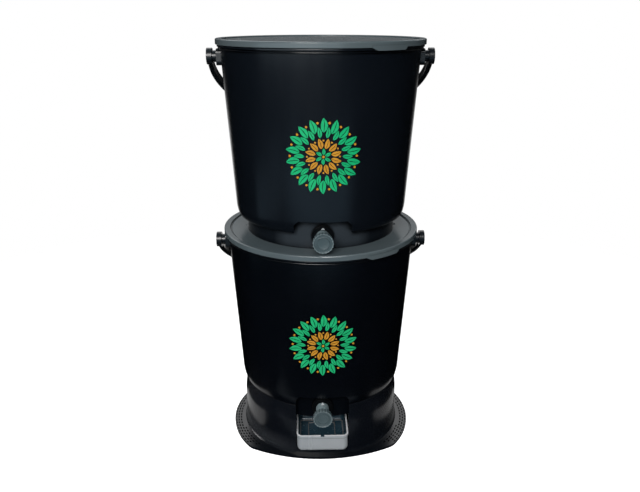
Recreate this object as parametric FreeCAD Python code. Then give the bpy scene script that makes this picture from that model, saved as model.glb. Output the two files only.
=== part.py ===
import FreeCAD, Part
import math
import os

"""Two stacked fermenting bins on a stand with a drip cup.

Millimetres, +Z up, the front (taps and cup) towards -Y. Z = 0 is the surface that the stand rests on, and
the Z axis is the bins' common axis. A bin is modelled once, with its foot at height 0, and placed twice.
"""

Vec = FreeCAD.Vector

# Clearances
seat_gap = 0.2            # between a piece and the seat that it stands on
running_gap = 0.1         # radial, round a pin that turns
plug_gap = 0.08           # radial, round the valve plug and its drive
thread_gap = 0.05         # radial, between the tap's shank and its nut
swing_gap = 1.0           # between the handle and what it swings past, and round the strainer's cut-outs
slide_gap = 1.2           # on each side of the drip cup

# Small values shared by several pieces
edge_round = 0.8          # rounding of thin outer edges
inside_round = 2.0        # rounding of inside corners
overlap = 1.0             # how far a joined solid runs into its neighbour, or a cut past a face
side_share = 0.96         # share of a side that the roundings at its two ends may use

# Bin body
wall = 2.5
foot_radius = 116.5
foot_height = 25.0        # from the foot's bottom to the belly's underside
foot_ring = 7.0           # width of the ring that the bin stands on
floor_rise = 2.5          # the floor's underside above the foot ring
belly_radius = 129.6
belly_round = 7.0
heel_radius = 133.2       # where the straight wall would turn into the belly
heel_height = 38.5
heel_round = 60.0
rim_radius = 148.9
rim_height = 284.3
lip_reach = 4.1           # how far the lip stands out of the wall
lip_thickness = 2.8
lip_drop = 4.0            # from the rim's top to the lip's top
seam_rise = 5.0           # the seam between sump and body above the notch's top

# Notch in the belly over the tap
notch_width = 83.0
notch_height = 45.0
notch_chamfer = 6.5

# Lid and its seal
crown = 3.0               # lid material over the seal
seal_thickness = 1.5
seal_width = 4.6
skirt_wall = 2.4
skirt_height = 8.2
skirt_clear = 3.7         # between the bin's wall and the skirt
plug_wall = 2.5           # the lid's inner wall, which enters the bin
plug_clear = 0.8
plug_depth = 9.0
panel_recess = 2.2
panel_thickness = 2.5
groove_width = 2.2
groove_depth = 1.2
crest_round = 1.8
tab_reach = 0.8
tab_wall = 2.2
tab_drop = 3.6            # how far the tab hangs below the skirt
tab_rise = 3.0            # how far the tab climbs up the skirt
tab_start = 24.0          # degrees to the right of the front
tab_end = 46.5
tab_slant = 4.0           # slope of the tab's right end, half of that of its left end
nub_size = 3.0            # small pegs that keep the upper bin's foot in place
nub_height = 1.5
nub_clear = 1.5

# Handle and ears
ear_gap = 3.5             # between the lip and the ear's top
ear_width = 22.0
ear_rise = 11.0
ear_fall = 13.0
ear_round = 6.0
ear_reach = 7.0           # how far the ear stands out of the wall
pivot_radius = 8.5        # round boss on the ear, which the handle's eye faces
pin_radius = 4.0
pin_length = 9.0
strap_thickness = 8.0
strap_width = 14.0
strap_round = 2.4
strap_leg = 20.0          # straight length between the pivot and the round part
strap_clear = 3.0         # between the swinging strap and the lid's edge
eye_radius = 12.0

# Strainer plate
strainer_radius = 121.0
strainer_thickness = 2.5
strainer_hole = 2.6       # radius of a hole
strainer_pitch = 17.0
strainer_border = 9.0
strainer_rib = 6.0        # depth of the ring under the plate
strainer_rib_radius = 96.0

# Tap
tap_height = 20.0
boss_radius = 17.0
boss_reach = 1.5
pad_radius = 14.0
pad_reach = 2.0
shank_radius = 10.0
shank_clear = 0.3
shank_bore = 7.0
shank_spare = 2.5         # shank that stands past the nut
gasket_radius = 16.5
gasket_thickness = 2.0
flange_radius = 16.0
flange_thickness = 2.5
washer_radius = 13.0
washer_thickness = 1.5
nut_flats = 24.0
nut_thickness = 6.0
barrel_length = 17.0      # from the flange to the knob
nozzle_radius = 5.6
nozzle_bore = 3.4
nozzle_offset = 4.0       # from the flange's face to the nozzle's axis
nozzle_drop = 14.5        # from the tap's axis to the nozzle's end
pointer_length = 10.0
pointer_half = 4.0
pointer_height = 1.0
plug_radius = shank_bore - plug_gap
plug_bore = 4.4
plug_tail = 6.0           # plug that stands behind the nozzle's far side
drive_radius = 4.0
drive_length = 6.0
ring_section = 0.75       # radius of the plug seal's round section
ring_offset = 4.0         # from the knob to the plug seal
knob_radius = 15.0
knob_disc = 8.0           # length of the knob's full-width disc
knob_cone = 6.0           # length of the cone behind the disc
knob_rim = 1.8
knob_dish = 1.0
knob_flutes = 36
flute_radius = 0.7

# Stand
seat_height = 67.5        # the lower bin's foot above the ground
stand_wall = 3.0
stand_top_gap = 0.6       # between the stand's top edge and the lower bin's belly
stand_tuck = 2.1          # how far the stand's top lies inside the belly's edge
stand_bulge = 3.2         # how far the stand's waist stands out of its top
stand_flare = 3.2         # how far the stand's bottom stands out of its waist
flare_bend = 1.0          # how far the bend over the flange stands out of the waist
stand_bulge_height = 66.0
stand_flare_height = 24.0
flare_bend_height = 8.0
flare_bend_round = 12.0
bulge_round = 60.0
flare_round = 45.0
flange_height = 4.0       # thickness of the stand's flange
flange_plan_radius = 152.0
flange_forward = 8.0      # the flange's centre in front of the bins' axis
flange_front = 135.0      # the flange's flatter front
flange_front_radius = 240.0
flange_strip = 6.0        # width of the flange in the middle of its front
flange_corner = 30.0
stand_floor = 12.0        # the floor that the cup stands on
stand_seam = 1.0          # the seam between the stand's wall and flange above that floor
floor_thickness = 3.0
shelf_thickness = 3.0
shelf_width = 24.0
opening_width = 84.0
opening_round = 7.5       # less than the cup's bottom rounding, so that the cup clears the corners

# Drip cup
cup_depth = 88.0
cup_height = 31.0
cup_wall = 1.8
cup_lip = 0.6             # how far the cup's rim band stands out
cup_lip_height = 4.5
cup_front = 133.0         # the cup's front face from the bins' axis
cup_corner = 9.0
cup_bottom_round = 8.5
cup_ridge = 1.4           # section of the ridge on the cup's floor
cup_ridge_half = 22.0
cup_notch_width = 6.0
cup_notch_depth = 1.6

# Worked out from the above
lean = (rim_radius - heel_radius) / (rim_height - heel_height)
lid_top = rim_height + seat_gap + seal_thickness + crown
stack_pitch = lid_top - panel_recess + seat_gap
skirt_outer = rim_radius + skirt_clear + skirt_wall
plug_outer = rim_radius - wall - plug_clear
tab_outer = skirt_outer + tab_reach
lip_top = rim_height - lip_drop
ear_height = lip_top - lip_thickness - ear_gap - ear_rise
seam_height = notch_height + seam_rise
sump_radius = foot_radius - wall
ledge_height = foot_height + wall
strap_inner = math.hypot(tab_outer, lid_top - ear_height) + strap_clear
ear_face = strap_inner - running_gap - seat_gap
boss_face = foot_radius + boss_reach
pad_face = sump_radius - pad_reach
flange_face = boss_face + gasket_thickness + flange_thickness
nozzle_place = flange_face + nozzle_offset
knob_back = flange_face + barrel_length
knob_face = knob_back + knob_cone + knob_disc
cup_width = opening_width - 2 * slide_gap
shank_end = pad_face - washer_thickness - nut_thickness - shank_spare
stand_top = seat_height + foot_height - stand_top_gap
stand_top_radius = belly_radius - stand_tuck
stand_waist_radius = stand_top_radius + stand_bulge
stand_flare_radius = stand_waist_radius + stand_flare


def wall_radius(height):
    """Outer radius of the bin's straight wall at a height above its foot."""
    return heel_radius + lean * (height - heel_height)


def rounded_wire(corners, place):
    """Closed wire through (a, b, radius) corners, rounded by tangent arcs; place turns them into points.

    An arc gets a smaller radius where the sides beside it are too short for it.
    """
    count = len(corners)
    points = [Vec(a, b, 0) for a, b, _ in corners]
    sides = [points[n].distanceToPoint(points[(n + 1) % count]) for n in range(count)]
    halves = []
    runs = []
    for n in range(count):
        half = (points[n - 1] - points[n]).getAngle(points[(n + 1) % count] - points[n]) / 2
        halves.append(half)
        runs.append(corners[n][2] / math.tan(half))
    arcs = []
    for n in range(count):
        before = (points[n - 1] - points[n]).normalize()
        after = (points[(n + 1) % count] - points[n]).normalize()
        wanted = max(runs[n] + runs[n - 1], 1e-9), max(runs[n] + runs[(n + 1) % count], 1e-9)
        run = runs[n] * min(1, side_share * sides[n - 1] / wanted[0], side_share * sides[n] / wanted[1])
        sag = run * (1 - math.sin(halves[n])) / math.cos(halves[n])
        middle = points[n]
        if run > 0:
            middle = points[n] + (before + after).normalize() * sag
        arcs.append((place(points[n] + before * run), place(middle), place(points[n] + after * run), run))
    edges = []
    for n in range(count):
        start = arcs[n - 1][2]
        entry, middle, leave, run = arcs[n]
        edges.append(Part.LineSegment(start, entry).toShape())
        if run > 0:
            edges.append(Part.Arc(entry, middle, leave).toShape())
    return Part.Wire(edges)


def turned(corners):
    """Solid of revolution about Z from (radius, height, round) corners."""
    face = Part.Face(rounded_wire(corners, lambda p: Vec(p.x, 0, p.y)))
    return face.revolve(Vec(0, 0, 0), Vec(0, 0, 1), 360)


def turned_to_front(corners, height):
    """Solid of revolution about the tap's axis from (radius, distance to the front, round) corners."""
    face = Part.Face(rounded_wire(corners, lambda p: Vec(p.x, -p.y, height)))
    return face.revolve(Vec(0, 0, height), Vec(0, 1, 0), 360)


def upright(corners, bottom, top):
    """Prism of an (x, y, round) outline between two heights."""
    face = Part.Face(rounded_wire(corners, lambda p: Vec(p.x, p.y, bottom)))
    return face.extrude(Vec(0, 0, top - bottom))


def through_front(corners, near, far):
    """Prism of an (x, z, round) outline from a near to a far distance in front of the axis."""
    face = Part.Face(rounded_wire(corners, lambda p: Vec(p.x, -near, p.y)))
    return face.extrude(Vec(0, near - far, 0))


def cylinder(radius, length, base, direction):
    """Cylinder from a base point along a direction."""
    return Part.makeCylinder(radius, length, base, direction)


def sector(inner, outer, bottom, top, start, end):
    """Ring segment between two angles, in degrees to the right of the front."""
    face = Part.Face(Part.makePolygon([
        Vec(inner, 0, bottom), Vec(outer, 0, bottom), Vec(outer, 0, top), Vec(inner, 0, top),
        Vec(inner, 0, bottom)]))
    face.rotate(Vec(0, 0, 0), Vec(0, 0, 1), start - 90)
    return face.revolve(Vec(0, 0, 0), Vec(0, 0, 1), end - start)


def notch_outline(grow):
    """Outline of the notch over the tap, grown by a wall."""
    half = notch_width / 2 + grow
    top = notch_height + grow
    cut = notch_chamfer + grow * math.tan(math.radians(22.5))
    low = -wall
    return [(-half, low, 0), (half, low, 0), (half, top - cut, 0), (half - cut, top, 0),
            (-half + cut, top, 0), (-half, top - cut, 0)]


def notched(solid, grow, core):
    """Cuts the grown notch out of a solid's front and puts the sump's round core back behind it."""
    return solid.cut(through_front(notch_outline(grow), 0, rim_radius)).fuse(core)


def bucket_outside():
    """Solid outside of the bin above its foot: belly, wall, lip and rim."""
    lip_outer = wall_radius(lip_top) + lip_reach
    lip_low = lip_top - lip_thickness
    return turned([
        (0, foot_height, 0), (belly_radius, foot_height, belly_round),
        (heel_radius, heel_height, heel_round), (wall_radius(lip_low), lip_low, 0),
        (lip_outer, lip_low, edge_round), (lip_outer, lip_top, edge_round),
        (wall_radius(lip_top), lip_top, 0), (rim_radius, rim_height, edge_round), (0, rim_height, 0)])


def make_bin_body():
    """Whole bucket in one piece, without its ears: rim, lip, wall, belly, foot, notch and tap boss."""
    core_top = notch_height + 4 * wall
    foot = turned([
        (0, floor_rise, 0), (foot_radius - foot_ring, floor_rise, 0), (foot_radius - foot_ring, 0, 0),
        (foot_radius, 0, edge_round), (foot_radius, core_top, 0), (0, core_top, 0)])
    outer = notched(bucket_outside(), 0, foot)
    floor_top = floor_rise + wall
    sump = turned([
        (0, floor_top, 0), (sump_radius, floor_top, inside_round), (sump_radius, core_top, 0),
        (0, core_top, 0)])
    room = turned([
        (0, ledge_height, 0), (belly_radius - wall, ledge_height, belly_round - wall),
        (heel_radius - wall, heel_height, heel_round), (rim_radius - wall, rim_height, 0),
        (rim_radius - wall, rim_height + wall, 0), (0, rim_height + wall, 0)])
    body = outer.cut(notched(room, wall, sump))
    front = Vec(0, -1, 0)
    depth = boss_face - sump_radius
    body = body.fuse(cylinder(boss_radius, depth, Vec(0, -sump_radius, tap_height), front))
    pad_depth = foot_radius - pad_face
    body = body.fuse(cylinder(pad_radius, pad_depth, Vec(0, -pad_face, tap_height), front))
    hole = shank_radius + shank_clear
    body = body.cut(cylinder(hole, boss_face, Vec(0, -pad_face + wall, tap_height), front))
    return body.removeSplitter()


def split_at(shape, height):
    """Upper and lower piece of a shape, which meet face to face at a height."""
    room = shape.BoundBox
    room.enlarge(wall)
    corner = Vec(room.XMin, room.YMin, room.ZMin)
    below = Part.makeBox(room.XLength, room.YLength, height - room.ZMin, corner)
    return shape.cut(below), shape.common(below)


def make_bin_ears():
    """The two ears on the wall, each with a round boss and a blind hole for the handle's pin."""
    ear_root = wall_radius(ear_height) - wall
    ear_block = wall_radius(ear_height) + ear_reach
    ear_low = ear_height - ear_fall
    ear_top = ear_height + ear_rise
    ear_half = ear_width / 2
    outline = [
        (-ear_half, ear_low, ear_round), (ear_half, ear_low, ear_round),
        (ear_half, ear_top, ear_round), (-ear_half, ear_top, ear_round)]
    bore_depth = pin_length + swing_gap
    ears = []
    for side in (-1, 1):
        out = Vec(side, 0, 0)
        face = Part.Face(rounded_wire(outline, lambda p: Vec(side * ear_root, p.x, p.y)))
        ear = face.extrude(out * (ear_block - ear_root))
        ear = ear.fuse(cylinder(pivot_radius, ear_face - ear_root, Vec(side * ear_root, 0, ear_height), out))
        mouth = Vec(side * (ear_face + overlap), 0, ear_height)
        bore = cylinder(pin_radius + running_gap, bore_depth + overlap, mouth, -out)
        ears.append(ear.cut(bucket_outside()).cut(bore).removeSplitter())
    return Part.makeCompound(ears)


def make_lid():
    """Lid with its crest, groove, sunk panel, skirt, inner wall, lift tab and pegs for the upper foot."""
    skirt_inner = skirt_outer - skirt_wall
    skirt_low = lid_top - skirt_height
    ceiling = lid_top - crown
    panel_top = lid_top - panel_recess
    plug_inner = plug_outer - plug_wall
    crest_inner = plug_inner + groove_width
    plug_low = lid_top - plug_depth
    lid = turned([
        (0, panel_top, 0), (plug_inner, panel_top, edge_round), (plug_inner, panel_top - groove_depth, 0),
        (crest_inner, panel_top - groove_depth, 0), (crest_inner, lid_top, edge_round),
        (skirt_outer, lid_top, crest_round), (skirt_outer, skirt_low, edge_round),
        (skirt_inner, skirt_low, 0), (skirt_inner, ceiling, 0), (plug_outer, ceiling, 0),
        (plug_outer, plug_low, edge_round), (plug_inner - groove_width, plug_low, edge_round),
        (plug_inner - groove_width, panel_top - panel_thickness, 0), (0, panel_top - panel_thickness, 0)])
    tab_top = skirt_low + tab_rise
    tab_low = skirt_low - tab_drop
    lid = lid.fuse(sector(skirt_inner + overlap, tab_outer, skirt_low, tab_top, tab_start, tab_end))
    hang = sector(tab_outer - tab_wall, tab_outer, tab_low, skirt_low, tab_start, tab_end)
    tab_half = tab_outer * math.sin(math.radians(tab_end - tab_start) / 2)
    slopes = through_front([
        (-tab_half, skirt_low, 0), (2 * tab_slant - tab_half, tab_low, 0),
        (tab_half - tab_slant, tab_low, 0), (tab_half, skirt_low, 0)], 0, tab_outer + overlap)
    slopes.rotate(Vec(0, 0, 0), Vec(0, 0, 1), (tab_start + tab_end) / 2)
    lid = lid.fuse(hang.common(slopes))
    nub_place = foot_radius + nub_clear
    for side in (-1, 1):
        corner = Vec(side * (nub_place + nub_size / 2) - nub_size / 2, -nub_size / 2, panel_top - overlap)
        lid = lid.fuse(Part.makeBox(nub_size, nub_size, nub_height + overlap, corner))
    return lid.removeSplitter()


def make_lid_seal():
    """Flat ring in the lid's channel, over the bin's rim."""
    top = lid_top - crown
    inner = plug_outer + (skirt_outer - skirt_wall - plug_outer - seal_width) / 2
    low = top - seal_thickness
    outer = inner + seal_width
    return turned([(inner, low, 0), (outer, low, 0), (outer, top, 0), (inner, top, 0)])


def rest_angle():
    """Angle below the horizontal at which the strap leans on the back wall, found by halving."""
    reach = strap_inner + strap_leg
    low, high = 0.0, math.pi / 2
    for _ in range(50):
        angle = (low + high) / 2
        back = reach * math.cos(angle) - strap_width / 2 * math.sin(angle)
        height = ear_height - reach * math.sin(angle) - strap_width / 2 * math.cos(angle)
        if back > wall_radius(height) + swing_gap:
            low = angle
        else:
            high = angle
    return math.degrees(low)


def make_bail_handle():
    """Flat strap bent to a half circle, with an eye and an inward pin at each end, leaning on the back."""
    outer = strap_inner + strap_thickness
    half = strap_width / 2
    section = [(strap_inner, -half, strap_round), (outer, -half, strap_round),
               (outer, half, strap_round), (strap_inner, half, strap_round)]
    face = Part.Face(rounded_wire(section, lambda p: Vec(p.x, strap_leg, p.y)))
    strap = face.revolve(Vec(0, strap_leg, 0), Vec(0, 0, 1), 180)
    for side in (-1, 1):
        leg = Part.Face(rounded_wire(section, lambda p: Vec(side * p.x, 0, p.y)))
        strap = strap.fuse(leg.extrude(Vec(0, strap_leg, 0)))
        eye = cylinder(eye_radius, strap_thickness, Vec(side * strap_inner, 0, 0), Vec(side, 0, 0))
        strap = strap.fuse(eye)
        pin = cylinder(pin_radius, pin_length, Vec(side * strap_inner, 0, 0), Vec(-side, 0, 0))
        strap = strap.fuse(pin)
    strap = strap.removeSplitter()
    strap.rotate(Vec(0, 0, 0), Vec(1, 0, 0), -rest_angle())
    strap.translate(Vec(0, 0, ear_height))
    return strap


def make_strainer_plate():
    """Perforated plate with a ring under it, cut back where the notch's pocket stands in the bin."""
    low = ledge_height + seat_gap
    top = low + strainer_thickness
    edge = strainer_rib_radius + wall
    plate = turned([
        (0, low, 0), (strainer_rib_radius, low, 0), (strainer_rib_radius, low - strainer_rib, 0),
        (edge, low - strainer_rib, 0), (edge, low, 0), (strainer_radius, low, 0),
        (strainer_radius, top, 0), (0, top, 0)])
    up = Vec(0, 0, 1)
    depth = strainer_thickness + 2 * overlap
    cut_half = notch_width / 2 + wall + swing_gap
    nut_half = nut_flats / math.sqrt(3) + 2 * swing_gap
    inside_pocket = cylinder(sump_radius - swing_gap, depth, Vec(0, 0, low - overlap), up)
    for half, back, kept in ((cut_half, 0, inside_pocket), (nut_half, shank_end - swing_gap, None)):
        gap = through_front([
            (-half, low - overlap, 0), (half, low - overlap, 0), (half, top + overlap, 0),
            (-half, top + overlap, 0)], back, strainer_radius + overlap)
        if kept:
            gap = gap.cut(kept)
        plate = plate.cut(gap)
    drills = [cylinder(strainer_hole, depth, Vec(0, 0, low - overlap), up)]
    rings = int((strainer_radius - strainer_border) / strainer_pitch)
    for ring in range(1, rings + 1):
        radius = ring * strainer_pitch
        if abs(radius - strainer_rib_radius - wall / 2) < strainer_hole + wall:
            continue
        count = 6 * ring
        for step in range(count):
            angle = 2 * math.pi * (step + 0.5) / count
            x = radius * math.cos(angle)
            y = radius * math.sin(angle)
            if abs(x) < cut_half + 2 * strainer_hole and -y > shank_end - 2 * strainer_hole:
                continue
            drills.append(cylinder(strainer_hole, depth, Vec(x, y, low - overlap), up))
    return plate.cut(Part.makeCompound(drills))


def make_tap_body():
    """Shank, flange, barrel and downward nozzle in one piece, with a raised pointer on the barrel."""
    flange_back = flange_face - flange_thickness
    front = knob_back - seat_gap
    body = turned_to_front([
        (shank_bore, shank_end, 0), (shank_radius, shank_end, edge_round), (shank_radius, flange_back, 0),
        (flange_radius, flange_back, 0), (flange_radius, flange_face, edge_round),
        (shank_radius, flange_face, 0), (shank_radius, front, 0), (shank_bore, front, 0)], tap_height)
    down = Vec(0, 0, -1)
    start = tap_height - (shank_bore + shank_radius) / 2
    nozzle = cylinder(nozzle_radius, nozzle_drop - tap_height + start, Vec(0, -nozzle_place, start), down)
    body = body.fuse(nozzle)
    bore_length = nozzle_drop + overlap
    body = body.cut(cylinder(nozzle_bore, bore_length, Vec(0, -nozzle_place, tap_height), down))
    root = tap_height + math.sqrt(shank_radius ** 2 - pointer_half ** 2) - overlap
    tip = tap_height + shank_radius + pointer_height
    pointer = upright([
        (-pointer_half, -front, 0), (pointer_half, -front, 0), (0, pointer_length - front, 0)], root, tip)
    return body.fuse(pointer).removeSplitter()


def front_ring(inner, outer, near, far):
    """Flat ring on the tap's axis between two distances to the front."""
    return turned_to_front(
        [(inner, near, 0), (outer, near, 0), (outer, far, 0), (inner, far, 0)], tap_height)


def make_tap_nut():
    """Six-sided nut on the shank, inside the sump."""
    far = pad_face - washer_thickness
    corner = nut_flats / math.sqrt(3)
    points = [Vec(corner * math.cos(math.pi * n / 3), -far, tap_height + corner * math.sin(math.pi * n / 3))
              for n in range(7)]
    nut = Part.Face(Part.makePolygon(points)).extrude(Vec(0, nut_thickness, 0))
    start = Vec(0, -far - nut_thickness, tap_height)
    return nut.cut(cylinder(shank_radius + thread_gap, 3 * nut_thickness, start, Vec(0, 1, 0)))


def make_valve_plug():
    """Hollow plug with a side port, a seal groove and a stem for the knob; closed at rest."""
    tail = nozzle_place - nozzle_radius - plug_tail
    groove = knob_back - ring_offset
    groove_floor = plug_radius - 2 * ring_section
    end = knob_back - seat_gap
    bore_end = nozzle_place + nozzle_bore + overlap
    plug = turned_to_front([
        (plug_bore, tail, 0), (plug_radius, tail, edge_round), (plug_radius, groove - ring_section, 0),
        (groove_floor, groove - ring_section, 0), (groove_floor, groove + ring_section, 0),
        (plug_radius, groove + ring_section, 0), (plug_radius, end, 0), (drive_radius, end, 0),
        (drive_radius, end + drive_length, 0), (0, end + drive_length, 0),
        (0, bore_end, 0), (plug_bore, bore_end, 0)], tap_height)
    middle = Vec(0, -nozzle_place, tap_height)
    return plug.cut(cylinder(nozzle_bore, plug_radius + overlap, middle, Vec(1, 0, 0)))


def make_plug_seal():
    """Round-section ring in the plug's groove."""
    middle = plug_radius - ring_section
    return Part.makeTorus(middle, ring_section, Vec(0, -knob_back + ring_offset, tap_height), Vec(0, 1, 0))


def make_tap_knob():
    """Round knob: cone, fluted disc and a dished face with a raised rim."""
    socket = knob_back - seat_gap + drive_length
    dish = knob_radius - knob_rim
    floor = knob_face - knob_dish
    knob = turned_to_front([
        (drive_radius + plug_gap, knob_back, 0), (shank_radius, knob_back, 0),
        (knob_radius, knob_back + knob_cone, edge_round), (knob_radius, knob_face, edge_round),
        (dish, knob_face, 0), (dish - knob_dish, floor, 0), (0, floor, 0), (0, socket, 0),
        (drive_radius + plug_gap, socket, 0)], tap_height)
    flutes = []
    for step in range(knob_flutes):
        angle = 2 * math.pi * step / knob_flutes
        centre = Vec(knob_radius * math.cos(angle), -knob_back - knob_cone,
                     tap_height + knob_radius * math.sin(angle))
        flutes.append(cylinder(flute_radius, knob_disc - knob_rim, centre, Vec(0, -1, 0)))
    return knob.cut(Part.makeCompound(flutes))


def front_disc(front, height):
    """Wide disc whose edge gives the stand its flatter front."""
    return cylinder(flange_front_radius, height, Vec(0, flange_front_radius - front, 0), Vec(0, 0, 1))


def make_flange():
    """The stand's flange: a disc set forward, with a flatter front and rounded corners."""
    disc = cylinder(flange_plan_radius, flange_height, Vec(0, -flange_forward, 0), Vec(0, 0, 1))
    plan = disc.common(front_disc(flange_front, flange_height))
    corners = [edge for edge in plan.Edges
               if edge.Curve.TypeId == "Part::GeomLine" and edge.CenterOfMass.y < -flange_forward]
    return plan.makeFillet(flange_corner, corners)


def make_stand():
    """The stand's four pieces: wall, flange, floor for the cup and shelf for the bin."""
    up = Vec(0, 0, 1)
    outer = turned([
        (0, 0, 0), (stand_flare_radius, 0, 0), (stand_flare_radius, flange_height, 0),
        (stand_waist_radius + flare_bend, flare_bend_height, flare_bend_round),
        (stand_waist_radius, stand_flare_height, flare_round),
        (stand_waist_radius, stand_bulge_height, bulge_round), (stand_top_radius, stand_top - edge_round, 0),
        (stand_top_radius - edge_round, stand_top, 0), (0, stand_top, 0)])
    waist = stand_waist_radius - stand_wall
    floor_low = stand_floor - floor_thickness
    room = turned([
        (0, floor_low, 0), (waist, floor_low, 0), (waist, stand_bulge_height, bulge_round),
        (stand_top_radius - stand_wall, stand_top, 0), (stand_top_radius - stand_wall, stand_top + wall, 0),
        (0, stand_top + wall, 0)])
    under = cylinder(waist - flange_strip, floor_low + 2 * wall, Vec(0, 0, -wall), up)
    front = front_disc(flange_front - flange_strip, stand_top)
    stand = outer.common(front).fuse(make_flange()).cut(room).cut(under)
    half = opening_width / 2
    opening = through_front([
        (-half, stand_floor, opening_round), (half, stand_floor, opening_round),
        (half, stand_top + overlap, 0), (-half, stand_top + overlap, 0)],
        stand_waist_radius - shelf_width, flange_plan_radius)
    floor = cylinder(waist - seat_gap, floor_thickness, Vec(0, 0, floor_low), up).common(front)
    shelf_top = seat_height - seat_gap
    shelf_low = shelf_top - shelf_thickness
    shelf_inner = foot_radius - shelf_width
    shelf = turned([
        (shelf_inner, shelf_low, 0), (stand_waist_radius, shelf_low, 0),
        (stand_waist_radius, shelf_top, 0), (shelf_inner, shelf_top, 0)])
    shelf_gap = through_front([
        (-half, shelf_low - overlap, 0), (half, shelf_low - overlap, 0), (half, shelf_top + overlap, 0),
        (-half, shelf_top + overlap, 0)], 0, flange_plan_radius)
    shelf = shelf.common(room).cut(shelf_gap)
    stand = stand.cut(opening).removeSplitter()
    return *split_at(stand, stand_floor + stand_seam), floor, shelf


def cup_outline(inset):
    """Plan of the cup, drawn in by an inset."""
    half = cup_width / 2 - inset
    corner = cup_corner - inset
    front = inset - cup_front
    back = cup_depth - cup_front - inset
    return [(-half, front, corner), (half, front, corner), (half, back, corner), (-half, back, corner)]


def tub(inset, bottom, top):
    """Block of the cup's plan with a rounded bottom."""
    block = upright(cup_outline(inset), bottom, top)
    floor_edges = [edge for edge in block.Edges if edge.BoundBox.ZMax < bottom + edge_round]
    return block.makeFillet(cup_bottom_round - inset, floor_edges)


def make_drip_cup():
    """Open cup with rounded corners, a rim band, a ridge on its floor and a small pouring notch."""
    bottom = stand_floor + seat_gap
    top = bottom + cup_height
    floor_top = bottom + cup_wall
    lip = upright(cup_outline(-cup_lip), top - cup_lip_height, top)
    cup = tub(0, bottom, top).fuse(lip).cut(tub(cup_wall, floor_top, top + overlap))
    front = -cup_front + cup_wall + cup_bottom_round
    back = -cup_front + cup_depth - cup_wall - cup_bottom_round
    low = floor_top - cup_wall / 2
    height = cup_wall / 2 + cup_ridge
    for side in (-1, 1):
        corner = Vec(side * cup_ridge_half - cup_ridge / 2, front, low)
        cup = cup.fuse(Part.makeBox(cup_ridge, back - front, height, corner))
    corner = Vec(-cup_ridge_half - cup_ridge / 2, back - cup_ridge, low)
    cup = cup.fuse(Part.makeBox(2 * cup_ridge_half + cup_ridge, cup_ridge, height, corner))
    notch = Part.makeBox(cup_notch_width, 3 * cup_wall, 2 * cup_notch_depth,
                         Vec(-cup_notch_width / 2, -cup_front - cup_wall, top - cup_notch_depth))
    return cup.cut(notch).removeSplitter()


def save(name, shape):
    """Writes one piece to parts/ and prints its size."""
    assert shape.isValid(), name
    shape.exportStep(os.path.join("parts", name + ".step"))
    box = shape.optimalBoundingBox()
    print(f"{name}: {len(shape.Solids)} solid, x {box.XMin:.1f} {box.XMax:.1f}, "
          f"y {box.YMin:.1f} {box.YMax:.1f}, z {box.ZMin:.1f} {box.ZMax:.1f}")


def main():
    """Builds the stand, the cup and the two bins."""
    os.makedirs("parts", exist_ok=True)
    for name, shape in zip(("stand_wall", "stand_flange", "stand_floor", "stand_shelf"), make_stand()):
        save(name, shape)
    save("drip_cup", make_drip_cup())
    ring_bore = shank_radius + shank_clear
    body, sump = split_at(make_bin_body(), seam_height)
    pieces = {
        "bin_body": body,
        "bin_sump": sump,
        "bin_ears": make_bin_ears(),
        "lid": make_lid(),
        "lid_seal": make_lid_seal(),
        "bail_handle": make_bail_handle(),
        "strainer_plate": make_strainer_plate(),
        "tap_body": make_tap_body(),
        "tap_gasket": front_ring(ring_bore, gasket_radius, boss_face, boss_face + gasket_thickness),
        "tap_washer": front_ring(ring_bore, washer_radius, pad_face - washer_thickness, pad_face),
        "tap_nut": make_tap_nut(),
        "tap_knob": make_tap_knob(),
        "valve_plug": make_valve_plug(),
        "plug_seal": make_plug_seal()}
    for prefix, height in (("lower", seat_height), ("upper", seat_height + stack_pitch)):
        for name, shape in pieces.items():
            save(f"{prefix}_{name}", shape.translated(Vec(0, 0, height)))
    print(f"handle axis {ear_height:.2f} above a foot, rest angle {rest_angle():.2f} below horizontal")
    print(f"lower foot {seat_height:.2f}, stack pitch {stack_pitch:.2f}, lid top {lid_top:.2f} above a foot")
    print(f"tap axis {tap_height:.2f} above a foot, knob face {knob_face:.2f} in front of the axis")


main()
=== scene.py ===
"""Looks of two stacked fermenting bins on a stand with a drip cup.

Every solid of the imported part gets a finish. The pieces that only show on the surface are modelled here:
the printed rosettes, the beads below the lids, the ridged tap knobs, the painted pointers on the taps and
the tread on the stand's flange. Metres, +Z up, the front towards -Y.
"""

from __future__ import annotations

import logging
import math
from collections.abc import Iterable, Sequence
from dataclasses import dataclass
from enum import Enum

import bmesh
import bpy
from mathutils import Matrix, Vector

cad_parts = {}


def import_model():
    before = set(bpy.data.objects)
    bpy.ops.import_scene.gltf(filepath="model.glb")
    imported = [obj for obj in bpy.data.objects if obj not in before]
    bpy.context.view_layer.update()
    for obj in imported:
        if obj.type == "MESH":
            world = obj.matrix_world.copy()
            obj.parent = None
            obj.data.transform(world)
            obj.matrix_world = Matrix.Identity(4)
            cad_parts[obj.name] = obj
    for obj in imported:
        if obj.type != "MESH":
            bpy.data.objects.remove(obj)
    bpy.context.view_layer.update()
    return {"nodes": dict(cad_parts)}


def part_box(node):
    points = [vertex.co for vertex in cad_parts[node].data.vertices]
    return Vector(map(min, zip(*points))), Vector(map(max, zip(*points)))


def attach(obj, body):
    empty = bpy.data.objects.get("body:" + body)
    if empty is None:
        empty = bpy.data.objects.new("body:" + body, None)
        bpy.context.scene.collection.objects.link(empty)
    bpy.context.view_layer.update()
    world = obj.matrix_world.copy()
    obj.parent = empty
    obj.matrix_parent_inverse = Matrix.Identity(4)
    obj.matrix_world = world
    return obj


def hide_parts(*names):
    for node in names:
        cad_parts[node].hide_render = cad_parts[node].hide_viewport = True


LOG = logging.getLogger("bin_stack")
MM = 0.001
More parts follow.
